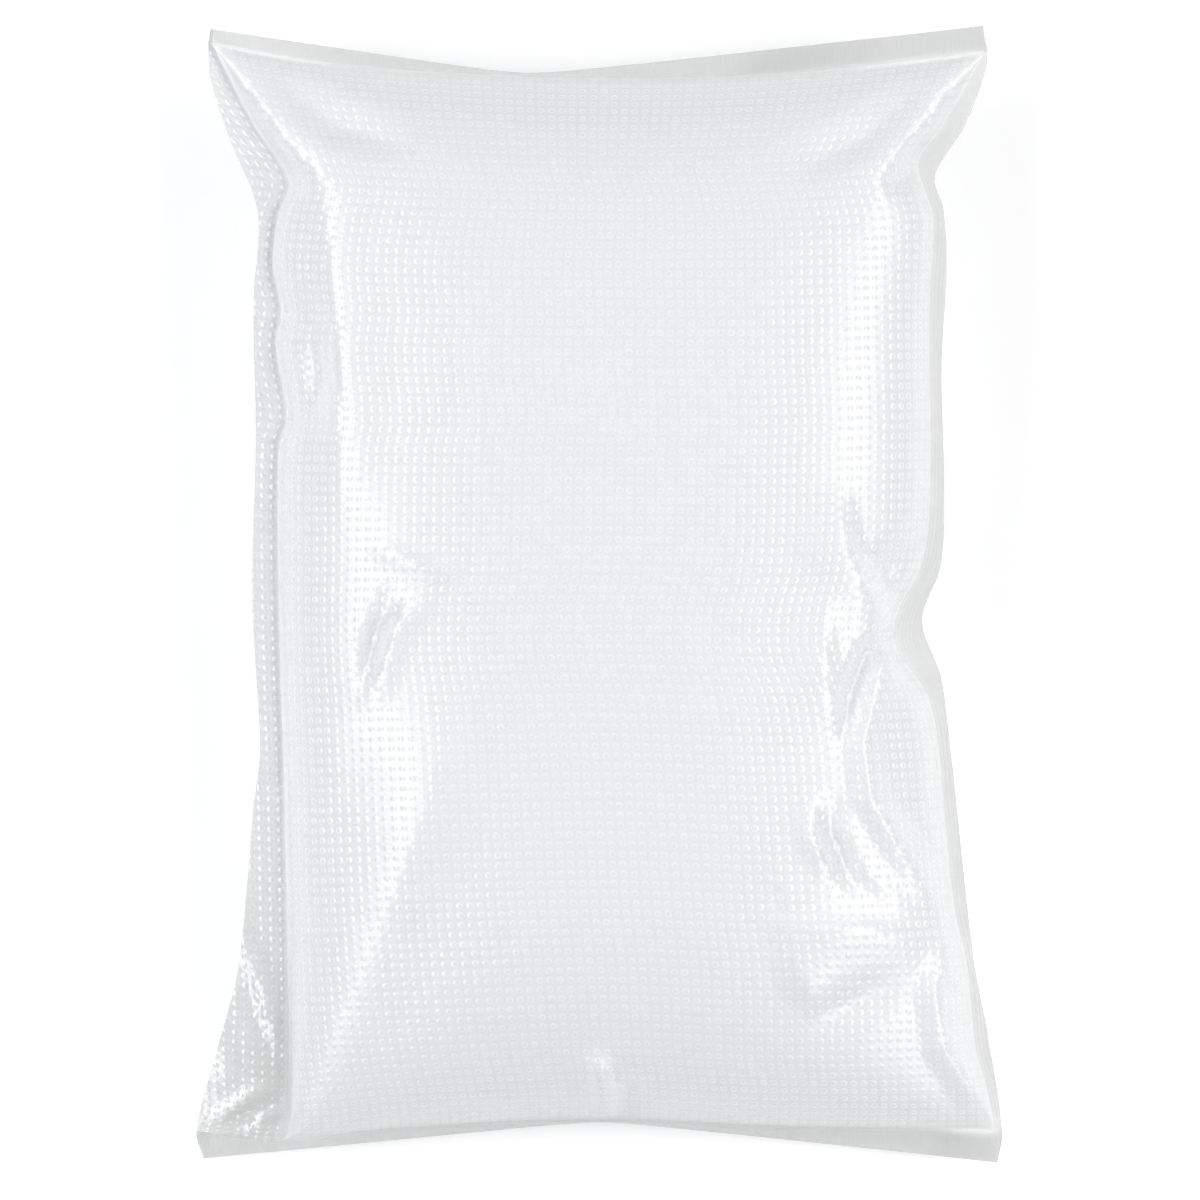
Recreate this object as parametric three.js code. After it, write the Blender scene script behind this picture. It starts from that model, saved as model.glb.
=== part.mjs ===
// A clear pillow pouch of cassava starch, lying on its back with its shown side up.
//
// One closed body: the belly that the starch fills, the two flat seams down its sides, and the
// two flat heat seals across its ends. Millimetres. X runs across the pouch, Y towards its top
// seal, Z is up. The origin lies on the surface it rests on, under the middle of its outline.

import * as THREE from "three";

// ---- Driving dimensions -------------------------------------------------------------------

const BELLY_RISE = 26.5;          // of the shown side, over the level of the side seams
const BELLY_DROP = 25.5;          // of the back, under that level, before it flattens
const SEAM_LEVEL = 23.5;          // of the side seams, over the surface it rests on
const SEAL_WIDTH = 8;             // of the heat seal across each end
const PAIR_THICKNESS = 0.6;       // of the two films together, in seams and seals

const ACROSS_FULLNESS = 2.5;      // how squarely the belly is filled from side to side
const ALONG_FULLNESS = 4.2;       // and from end to end
const BACK_FULLNESS = 3.1;        // of the back, from side to side
const STEEPNESS = 0.6;            // of the belly's walls: 0.5 rounds them as an ellipse, 1 slopes them
const SETTLED = 0.1;              // how much thicker the lower end is than the upper one
const HEAD_SAG = 7;               // of the upper fold's middle, under the side seams
const FOOT_SAG = 14;              // of the whole lower end, under them
const SAG_ONSET = 3;              // how late along the pouch both sags set in
const DROOP = 0.12;               // fall of a side seam under its root, for each unit outwards
const WAVER_REACH = 22;           // how far in from a root its waver dies away

const BELLY_Y = [-127, 129];      // where the belly starts and ends at the pouch's corners
const STEEPEST_LEAN = 87;         // degrees, of a seal's middle where it is seen edge on

const SEAM_CELLS = 2;             // cells of the mesh across a side seam
const SEAL_CELLS = 2;             // across an end seal
const BELLY_CELLS_ACROSS = 34;
const BELLY_CELLS_ALONG = 54;
const EDGE_CROWDING_ACROSS = 0.65; // 0 spaces the cells evenly, 1 crowds them to the steep sides
const EDGE_CROWDING_ALONG = 0.45;

// Plan outline. Each row is [Y, X]: the free edge of a side seam, then its root on the belly.
const LEFT_FREE_EDGE = [
  [-134.3, -94.3], [-127, -95.7], [-104, -89.8], [-86, -85.3], [-48, -81.6], [-34, -80.0],
  [0, -81.8], [37, -80.9], [70, -81.4], [92, -80.5], [107, -86.8], [121, -91.5], [134.3, -91.9],
];
const RIGHT_FREE_EDGE = [
  [-135, 94.5], [-127, 95.4], [-104, 91.9], [-86, 88.4], [-34, 82.5], [-18, 80.3], [-4.5, 75.9],
  [8, 80.2], [24, 81.1], [55, 80.4], [80, 81.6], [93, 80.8], [101, 78.8], [112, 85.8],
  [126, 91.0], [135, 90.5],
];
const LEFT_ROOT = [
  [-129, -75.8], [-118, -73.6], [-48, -74.1], [-24, -74.8], [10, -75.5], [37, -75.3],
  [44, -73.4], [61, -76.0], [69, -74.8], [80, -76.7], [91, -75.5], [100, -73.1], [112, -81.4],
  [130, -91.6],
];
const RIGHT_ROOT = [
  [-127, 94.0], [-115, 91.4], [-108, 89.1], [-87, 86.8], [-73, 83.7], [-52, 81.4], [-24, 77.8],
  [-10, 69.6], [-2, 70.3], [8, 75.5], [22, 77.6], [70, 77.6], [91, 78.5], [97, 76.7],
  [105, 75.0], [112, 80.4], [128, 90.2],
];

// The body that the roots waver about, [Y, X]; the belly keeps to it away from its edges.
const LEFT_BODY = [
  [-129, -75.2], [-50, -74.4], [40, -75.0], [88, -75.6], [104, -78.0], [130, -91.6],
];
const RIGHT_BODY = [
  [-127, 94.0], [-108, 89.4], [-60, 82.4], [-24, 78.2], [0, 76.8], [40, 77.4], [88, 77.8],
  [104, 78.0], [128, 90.2],
];

// Each row is [X, Y]: the fold where the belly meets a seal, then the seal's free edge as it
// shows from above. A seal leans down and back where that edge comes close to the fold.
const TOP_FOLD = [
  [-92, 130.1], [-68, 126.1], [-38, 123.5], [6, 122.2], [41, 123.1], [63, 124.9], [91, 128.0],
];
const TOP_SEAL_EDGE = [[-91.5, 134.3], [-17.5, 123.9], [90.5, 135.0]];
const BOTTOM_FOLD = [
  [-95.5, -127.0], [-76, -129.3], [-47, -126.6], [0, -124.4], [40, -126.1], [95.5, -127.0],
];
const BOTTOM_SEAL_EDGE = [[-94.3, -134.3], [0, -125.1], [94.5, -135.0]];
const SEAL_BEND_RADIUS = 6;       // rounds the corner in the middle of each seal's edge

// Creases and dents of the shown side. `path` is the line of the crest, [X, Y]; `rise` is its
// height, negative for a valley; `spread` is how far it reaches to the left and the right of the
// path, looking along it; `ends` is its height at the path's start and end, 1 being full height.
const CREASES = [
  // The fold out of the upper left corner, the hollows beside it and the shoulder below.
  {
    path: [[-92, 130], [-82, 115], [-72, 105], [-62, 96], [-52, 88]],
    rise: 2.0, spread: [15, 10], ends: [0.8, 0],
  },
  { path: [[-78, 123], [-62, 110], [-42, 104]], rise: -2.2, spread: [8, 7], ends: [0.2, 0] },
  { path: [[-84, 115], [-76, 102], [-71, 92]], rise: -2.4, spread: [5, 5], ends: [0.5, 0] },
  {
    path: [[-66, 99], [-63, 84], [-61, 62], [-62, 42]],
    rise: 1.5, spread: [14, 6], ends: [0.2, 0],
  },
  { path: [[-67, 62], [-65, 52], [-67, 40]], rise: -1.7, spread: [6, 5], ends: [0, 0] },
  { path: [[-60, 70], [-61, 42], [-60, 14]], rise: 1.6, spread: [14, 7], ends: [0, 0] },
  // The dent on the left, and the long fold from below it to the lower corner.
  { path: [[-54, 11], [-44, 8], [-31, 4]], rise: 1.5, spread: [4, 5], ends: [0, 0] },
  { path: [[-47, 4], [-52, -8], [-55, -24]], rise: -1.6, spread: [5, 4], ends: [0, 0] },
  { path: [[-37, 2], [-47, -7], [-55, -28]], rise: 1.5, spread: [6, 4], ends: [0, 0] },
  {
    path: [[-33, -16], [-39, -46], [-51, -77], [-60, -97]],
    rise: 2.4, spread: [15, 20], ends: [0, 0],
  },
  { path: [[-51, -77], [-62, -101], [-73, -128]], rise: 1.3, spread: [14, 20], ends: [0, 0.9] },
  // The fold out of the upper right corner and the hollows on both sides of it.
  {
    path: [[91, 128], [79, 118], [73, 110], [67, 100], [61, 86]],
    rise: 2.0, spread: [10, 15], ends: [0.8, 0],
  },
  { path: [[78, 123], [62, 107], [42, 98]], rise: -2.2, spread: [7, 8], ends: [0.2, 0] },
  { path: [[78, 106], [72, 99], [66, 94]], rise: -2.4, spread: [5, 5], ends: [1, 0] },
  // The pinch at the right-hand seam: hollows over and under it, and the folds they leave.
  { path: [[74, 13], [67, 6], [67, -3]], rise: -2.0, spread: [5, 7], ends: [0.6, 0.2] },
  { path: [[55, 28], [57, 11], [62, 2], [70, -9]], rise: 2.4, spread: [5, 14], ends: [0, 0.9] },
  { path: [[71, -9], [62, -13], [58, -24], [57, -38]], rise: -2.6, spread: [5, 4], ends: [1, 0] },
  { path: [[53, 4], [52, -14], [53, -33]], rise: 1.3, spread: [5, 10], ends: [0, 0] },
  {
    path: [[71, -12], [66, -19], [61, -34], [63, -47], [70, -59], [79, -72], [83, -80]],
    rise: 2.8, spread: [7, 5], ends: [0, 0],
  },
  // The folds under it, down to the lower right corner.
  { path: [[48, -46], [49, -56], [54, -67]], rise: 1.6, spread: [4, 5], ends: [0, 0] },
  { path: [[55, -44], [54, -55], [59, -66], [69, -74]], rise: -2.0, spread: [4, 5], ends: [0, 0] },
  { path: [[40, -77], [60, -78], [82, -83]], rise: 2.4, spread: [5, 12], ends: [0, 0.4] },
  { path: [[44, -77], [47, -88], [54, -101]], rise: 2.0, spread: [18, 7], ends: [0.5, 0] },
  { path: [[46, -100], [62, -94], [74, -92]], rise: -1.6, spread: [8, 8], ends: [0, 0] },
  {
    path: [[82, -82], [79, -93], [81, -106], [95, -127]],
    rise: 3.0, spread: [7, 6], ends: [0.3, 0.9],
  },
  // The pleat in the middle of the lower seal.
  { path: [[1, -125], [1, -117], [-1, -105]], rise: 3.0, spread: [5, 4], ends: [1, 0] },
  { path: [[6, -125], [7, -118], [9, -110]], rise: -2.2, spread: [4, 5], ends: [1, 0] },
];
const CREASE_SWELL = 1.3;         // how quickly a crease rises along its path, 1 being a sine
const CREASE_FLANK = 1.5;         // how its sides fall away, 1 being flat facets that meet in an edge
const SHALLOW_DEPTH = 4;          // creases fade out where the belly is thinner than this

const FILM_COLOUR = 0xeff1f2;      // of clear film with white starch behind it
const FILM_ROUGHNESS = 0.3;

// ---- Small sums ---------------------------------------------------------------------------

const blend = (a, b, share) => a + (b - a) * share;
const clamp = (value, low, high) => Math.min(high, Math.max(low, value));

// The value at `at` of a smooth curve through rows of [position, value].
function curveThrough(rows, at) {
  const last = rows.length - 1;
  const place = clamp(at, rows[0][0], rows[last][0]);
  let k = 0;
  while (k < last - 1 && place > rows[k + 1][0]) {
    k += 1;
  }
  const slope = (a, b) => (rows[b][1] - rows[a][1]) / (rows[b][0] - rows[a][0]);
  const span = rows[k + 1][0] - rows[k][0];
  const share = (place - rows[k][0]) / span;
  const startSlope = slope(Math.max(k - 1, 0), k + 1) * span;
  const endSlope = slope(k, Math.min(k + 2, last)) * span;
  const [start, end] = [rows[k][1], rows[k + 1][1]];
  const bend = 2 * (start - end) + startSlope + endSlope;
  const turn = 3 * (end - start) - 2 * startSlope - endSlope;
  return ((bend * share + turn) * share + startSlope) * share + start;
}

// A seal's free edge: two straight runs that meet in a rounded corner.
function sealEdgeY([start, corner, end], x) {
  const runIn = (corner[1] - start[1]) / (corner[0] - start[0]);
  const runOut = (end[1] - corner[1]) / (end[0] - corner[0]);
  const offset = x - corner[0];
  const rounded = Math.hypot(offset, SEAL_BEND_RADIUS) - SEAL_BEND_RADIUS;
  return corner[1] + (offset * (runIn + runOut) + rounded * (runOut - runIn)) / 2;
}

// Positions from 0 to 1 in `cells` steps, crowded towards both ends.
function crowdedSteps(cells, crowding) {
  return Array.from({ length: cells + 1 }, (_, k) => {
    const even = k / cells;
    return blend(even, (1 - Math.cos(Math.PI * even)) / 2, crowding);
  });
}

// ---- The creases --------------------------------------------------------------------------

// What one crease adds to the height of the shown side at a point of the plan.
function creaseHeight({ path, rise, spread, ends }, x, y) {
  let nearest = Infinity;
  let side = 0;
  let travel = 0;
  let walked = 0;
  for (let k = 0; k < path.length - 1; k += 1) {
    const [ax, ay] = path[k];
    const runX = path[k + 1][0] - ax;
    const runY = path[k + 1][1] - ay;
    const run = Math.hypot(runX, runY);
    const share = clamp(((x - ax) * runX + (y - ay) * runY) / (run * run), 0, 1);
    const offX = x - ax - runX * share;
    const offY = y - ay - runY * share;
    const distance = Math.hypot(offX, offY);
    if (distance < nearest) {
      nearest = distance;
      side = runX * offY - runY * offX;
      travel = walked + run * share;
    }
    walked += run;
  }
  const reach = 1 - nearest / (side > 0 ? spread[0] : spread[1]);
  if (reach <= 0) {
    return 0;
  }
  const along = travel / walked;
  const swell = Math.max(0, Math.sin(Math.PI * along)) ** CREASE_SWELL;
  const nearestEnd = along < 0.5 ? ends[0] : ends[1];
  const facet = reach ** CREASE_FLANK * (1 + reach * (1 - reach));
  return rise * facet * blend(swell, 1, nearestEnd);
}

// ---- The pouch ----------------------------------------------------------------------------

// How full the belly is at `share` of the way from one edge to the other, 1 in the middle.
function fullness(share, power) {
  return Math.max(0, 1 - Math.abs(2 * share - 1) ** power) ** STEEPNESS;
}

// Heights of both sides over and under the level of the seams, for a place on the belly.
function bellyHeights(across, along, x, y) {
  const alongFullness = fullness(along, ALONG_FULLNESS) * (1 + SETTLED * (0.5 - along));
  const shown = BELLY_RISE * alongFullness * fullness(across, ACROSS_FULLNESS);
  const hidden = BELLY_DROP * alongFullness * fullness(across, BACK_FULLNESS);
  const creases = CREASES.reduce((sum, crease) => sum + creaseHeight(crease, x, y), 0);
  const room = clamp(shown / SHALLOW_DEPTH, 0, 1);
  return { shown: Math.max(0, shown + creases * room), hidden };
}

// The level of the flat seams, which dips in the middle of the top and all along the foot.
function seamLevel(across, along) {
  const head = Math.max(0, 2 * along - 1) ** SAG_ONSET;
  const middle = 1 - (2 * across - 1) ** 2;
  const foot = (1 - along) ** SAG_ONSET;
  return SEAM_LEVEL - HEAD_SAG * head * middle - FOOT_SAG * foot;
}

// How far a side seam hangs under its root, more where it is wide.
function seamDroop(column, row, x) {
  if (column.seam === 0) {
    return 0;
  }
  const nominalY = blend(BELLY_Y[0], BELLY_Y[1], row.along);
  const root = curveThrough(column.belly === 0 ? LEFT_ROOT : RIGHT_ROOT, nominalY);
  return DROOP * Math.max(0, Math.abs(x) - Math.abs(root));
}

// How much of a root's waver is left at a distance from it.
function waverLeft(distance) {
  return Math.max(0, 1 - distance / WAVER_REACH) ** 2;
}

// Where a column of the belly lies: the body, and near its edges the waver of the roots.
function bellyX(share, nominalY) {
  const leftBody = curveThrough(LEFT_BODY, nominalY);
  const rightBody = curveThrough(RIGHT_BODY, nominalY);
  const leftWaver = curveThrough(LEFT_ROOT, nominalY) - leftBody;
  const rightWaver = curveThrough(RIGHT_ROOT, nominalY) - rightBody;
  const width = rightBody - leftBody;
  const atLeft = leftWaver * waverLeft(share * width);
  const atRight = rightWaver * waverLeft((1 - share) * width);
  return blend(leftBody, rightBody, share) + atLeft + atRight;
}

// Where a column and a row of the mesh meet in the plan, before a seal's lean.
function planAt(column, row) {
  const nominalY = blend(BELLY_Y[0], BELLY_Y[1], row.along);
  const freeEdge = column.belly === 0 ? LEFT_FREE_EDGE : RIGHT_FREE_EDGE;
  const atFree = curveThrough(freeEdge, nominalY + row.past * SEAL_WIDTH);
  const x = blend(bellyX(column.belly, nominalY), atFree, column.seam);
  const y = blend(curveThrough(BOTTOM_FOLD, x), curveThrough(TOP_FOLD, x), row.along);
  return { x, y };
}

// Both faces of the belly or a side seam at a place of the plan.
function bellyFaces(column, row, { x, y }) {
  const level = seamLevel(column.belly, row.along) - seamDroop(column, row, x);
  const { shown, hidden } = bellyHeights(column.belly, row.along, x, y);
  const over = [x, y, level + PAIR_THICKNESS / 2 + shown];
  const under = [x, y, Math.max(0, level - PAIR_THICKNESS / 2 - hidden)];
  return { over, under };
}

// Both faces of an end seal: flat, and leaning back from its fold as far as its edge shows.
function sealFaces(column, row, { x, y }) {
  const outward = Math.sign(row.past);
  const edge = outward > 0 ? TOP_SEAL_EDGE : BOTTOM_SEAL_EDGE;
  const seen = Math.abs(sealEdgeY(edge, x) - y) / SEAL_WIDTH;
  const lean = Math.acos(clamp(seen, Math.cos(THREE.MathUtils.degToRad(STEEPEST_LEAN)), 1));
  const reach = Math.abs(row.past) * SEAL_WIDTH;
  const middleY = y + outward * Math.cos(lean) * reach;
  const level = seamLevel(column.belly, row.along) - seamDroop(column, row, x);
  const middleZ = level - Math.sin(lean) * reach;
  const offsetY = outward * Math.sin(lean) * PAIR_THICKNESS / 2;
  const offsetZ = Math.cos(lean) * PAIR_THICKNESS / 2;
  const over = [x, middleY + offsetY, middleZ + offsetZ];
  const under = [x, middleY - offsetY, middleZ - offsetZ];
  return { over, under };
}

// Both faces of the pouch where a column and a row of the mesh meet.
function facesAt(column, row) {
  const plan = planAt(column, row);
  return row.past === 0 ? bellyFaces(column, row, plan) : sealFaces(column, row, plan);
}

// The columns of the mesh, from the left free edge over the belly to the right one.
function meshColumns() {
  const seam = Array.from({ length: SEAM_CELLS }, (_, k) => 1 - k / SEAM_CELLS);
  const belly = crowdedSteps(BELLY_CELLS_ACROSS, EDGE_CROWDING_ACROSS);
  return [
    ...seam.map((share) => ({ belly: 0, seam: share })),
    ...belly.map((share) => ({ belly: share, seam: 0 })),
    ...seam.toReversed().map((share) => ({ belly: 1, seam: share })),
  ];
}

// The rows of the mesh, from the lower seal's free edge to the upper one's.
function meshRows() {
  const seal = Array.from({ length: SEAL_CELLS }, (_, k) => 1 - k / SEAL_CELLS);
  const belly = crowdedSteps(BELLY_CELLS_ALONG, EDGE_CROWDING_ALONG);
  return [
    ...seal.map((share) => ({ along: 0, past: -share })),
    ...belly.map((share) => ({ along: share, past: 0 })),
    ...seal.toReversed().map((share) => ({ along: 1, past: share })),
  ];
}

// The mesh's points, three numbers each: the shown side row by row, then the back.
function meshPoints(columns, rows) {
  const points = [];
  for (const face of ["over", "under"]) {
    for (const row of rows) {
      for (const column of columns) {
        points.push(...facesAt(column, row)[face]);
      }
    }
  }
  return points;
}

const quad = (a, b, c, d) => [a, b, c, a, c, d];

// The triangles of the shown side and the back, of `wide` by `long` points each. `back` is the
// number of the back's first point.
function sideTriangles(wide, long, back) {
  const triangles = [];
  for (let j = 0; j < long - 1; j += 1) {
    for (let i = 0; i < wide - 1; i += 1) {
      const here = j * wide + i;
      const under = back + here;
      triangles.push(...quad(here, here + 1, here + wide + 1, here + wide));
      triangles.push(...quad(under, under + wide, under + wide + 1, under + 1));
    }
  }
  return triangles;
}

// The triangles of the rim, which joins the edges of the shown side and the back.
function rimTriangles(wide, long, back) {
  const triangles = [];
  const last = (long - 1) * wide;
  for (let i = 0; i < wide - 1; i += 1) {
    triangles.push(...quad(back + i, back + i + 1, i + 1, i));
    triangles.push(...quad(last + i, last + i + 1, back + last + i + 1, back + last + i));
  }
  for (let j = 0; j < long - 1; j += 1) {
    const left = j * wide;
    const right = left + wide - 1;
    triangles.push(...quad(left, left + wide, back + left + wide, back + left));
    triangles.push(...quad(back + right, back + right + wide, right + wide, right));
  }
  return triangles;
}

// One closed surface: the shown side, the back under it, and the rim round them.
function pouchGeometry() {
  const columns = meshColumns();
  const rows = meshRows();
  const size = [columns.length, rows.length, columns.length * rows.length];
  const points = new THREE.Float32BufferAttribute(meshPoints(columns, rows), 3);
  const geometry = new THREE.BufferGeometry();
  geometry.setAttribute("position", points);
  geometry.setIndex([...sideTriangles(...size), ...rimTriangles(...size)]);
  geometry.computeVertexNormals();
  return geometry;
}

function starchBag() {
  const material = new THREE.MeshStandardMaterial({
    color: FILM_COLOUR,
    roughness: FILM_ROUGHNESS,
    metalness: 0,
  });
  const mesh = new THREE.Mesh(pouchGeometry(), material);
  mesh.name = "starch_bag";
  return mesh;
}

const part = new THREE.Group();
part.add(starchBag());

export default part;
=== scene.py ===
"""A clear embossed pouch of cassava starch, lying on its back on a pale table, seen from above."""
import logging
import math
from dataclasses import dataclass, field
from enum import Enum

import bpy
import numpy as np
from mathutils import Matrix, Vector
from numpy.typing import NDArray


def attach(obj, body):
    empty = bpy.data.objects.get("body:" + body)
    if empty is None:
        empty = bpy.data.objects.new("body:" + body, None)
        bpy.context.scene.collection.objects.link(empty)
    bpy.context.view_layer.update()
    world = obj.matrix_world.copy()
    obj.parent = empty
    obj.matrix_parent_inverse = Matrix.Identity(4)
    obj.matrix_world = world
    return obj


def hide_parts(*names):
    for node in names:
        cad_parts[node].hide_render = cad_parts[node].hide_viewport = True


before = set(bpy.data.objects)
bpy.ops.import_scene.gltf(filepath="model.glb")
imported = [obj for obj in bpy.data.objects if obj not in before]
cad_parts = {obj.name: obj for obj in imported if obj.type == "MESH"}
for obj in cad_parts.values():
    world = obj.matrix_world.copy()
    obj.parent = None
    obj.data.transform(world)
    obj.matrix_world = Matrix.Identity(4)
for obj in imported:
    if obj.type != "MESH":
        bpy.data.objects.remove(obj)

Array = NDArray[np.float64]
Rows = tuple[tuple[float, float], ...]
Colour = tuple[float, float, float]

MM = 0.001  # metres
CAD_NODE = "starch_bag"
BAKE_MAP = "OFBake"
BACK_ON_MAP = (0.5, 0.0)  # from a point of the shown side on that map to the one behind it
LAMP_RADIANCE = 4.0  # of a lamp where its shader's strength is 1
log = logging.getLogger("pouch")
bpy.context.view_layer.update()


# ---- Curves and grids ---------------------------------------------------------------------


def blend(start: Array | float, end: Array | float, share: Array | float) -> Array | float:
    """The value `share` of the way from start to end."""
    return start + (end - start) * share


def curve_through(rows: Rows, at: Array | float) -> Array:
    """A smooth curve through rows of (position, value).

    Args:
        rows: the points it passes, in rising order of position.
        at: where it is read; held at the curve's ends.

    Returns:
        The curve's values there.
    """
    place, value = np.array(rows, float).T
    at = np.clip(at, place[0], place[-1])
    last = len(place) - 1
    k = np.searchsorted(place[1:-1], at, side="left")
    before, after = np.maximum(k - 1, 0), np.minimum(k + 2, last)
    span = place[k + 1] - place[k]
    share = (at - place[k]) / span
    start_slope = (value[k + 1] - value[before]) / (place[k + 1] - place[before]) * span
    end_slope = (value[after] - value[k]) / (place[after] - place[k]) * span
    bend = 2 * (value[k] - value[k + 1]) + start_slope + end_slope
    turn = 3 * (value[k + 1] - value[k]) - 2 * start_slope - end_slope
    return ((bend * share + turn) * share + start_slope) * share + value[k]


def even_shares(shares: Array, steps: Array, count: int) -> Array:
    """Picks shares that lie evenly along a curve.

    Args:
        shares: the curve's samples, from 0 to 1.
        steps: the lengths between neighbouring samples.
        count: how many cells to divide it into.

    Returns:
        count + 1 shares from 0 to 1.
    """
    walked = np.concatenate([[0.0], np.cumsum(steps)])
    return np.interp(np.linspace(0, walked[-1], count + 1), walked, shares)


def crowded_steps(cells: int, crowding: float) -> Array:
    """Steps from 0 to 1 that crowd towards both ends.

    Args:
        cells: how many cells to divide it into.
        crowding: 0 for even steps, 1 for those of a half circle.

    Returns:
        cells + 1 shares from 0 to 1.
    """
    even = np.linspace(0, 1, cells + 1)
    return blend(even, (1 - np.cos(math.pi * even)) / 2, crowding)


@dataclass(frozen=True)
class Crease:
    """A fold or dent of the shown side.

    Attributes:
        path: the line of its crest, (x, y) in millimetres.
        rise: its height in millimetres, negative for a valley.
        spread: its reach to the left and the right of the path, looking along it.
        ends: its height at the path's start and end, 1 being full height.
        flank: how its sides fall away, 1 being flat facets that meet in an edge.
        swell: how quickly it rises along its path, 1 being a sine.
    """

    path: Rows
    rise: float
    spread: tuple[float, float]
    ends: tuple[float, float] = (0.0, 0.0)
    flank: float = 1.5
    swell: float = 1.3

    def height(self, x: Array, y: Array) -> Array:
        """What it adds to the shown side.

        Args:
            x: places across the pouch, in millimetres.
            y: places along it.

        Returns:
            The added height at each place.
        """
        nearest = np.full(x.shape, np.inf)
        side, travel = np.zeros(x.shape), np.zeros(x.shape)
        walked = 0.0
        for (ax, ay), (bx, by) in zip(self.path, self.path[1:]):
            run_x, run_y = bx - ax, by - ay
            run = math.hypot(run_x, run_y)
            share = np.clip(((x - ax) * run_x + (y - ay) * run_y) / run**2, 0, 1)
            off_x, off_y = x - ax - run_x * share, y - ay - run_y * share
            distance = np.hypot(off_x, off_y)
            closer = distance < nearest
            nearest = np.where(closer, distance, nearest)
            side = np.where(closer, run_x * off_y - run_y * off_x, side)
            travel = np.where(closer, walked + run * share, travel)
            walked += run
        reach = np.maximum(0, 1 - nearest / np.where(side > 0, *self.spread))
        along = travel / walked
        swelling = np.maximum(0, np.sin(math.pi * along)) ** self.swell
        end = np.where(along < 0.5, *self.ends)
        facet = reach**self.flank * (1 + reach * (1 - reach))
        return self.rise * facet * blend(swelling, 1, end)


@dataclass(frozen=True)
class Lattice:
    """Where the columns and rows of a mesh lie on the pouch.

    Attributes:
        belly: share of the way from the left root to the right one.
        seam: share of the way from a root out to that seam's free edge.
        along: share of the way from the lower fold to the upper one.
        past: share of a seal's width past its fold, negative at the lower seal.
    """

    belly: Array
    seam: Array
    along: Array
    past: Array


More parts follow.
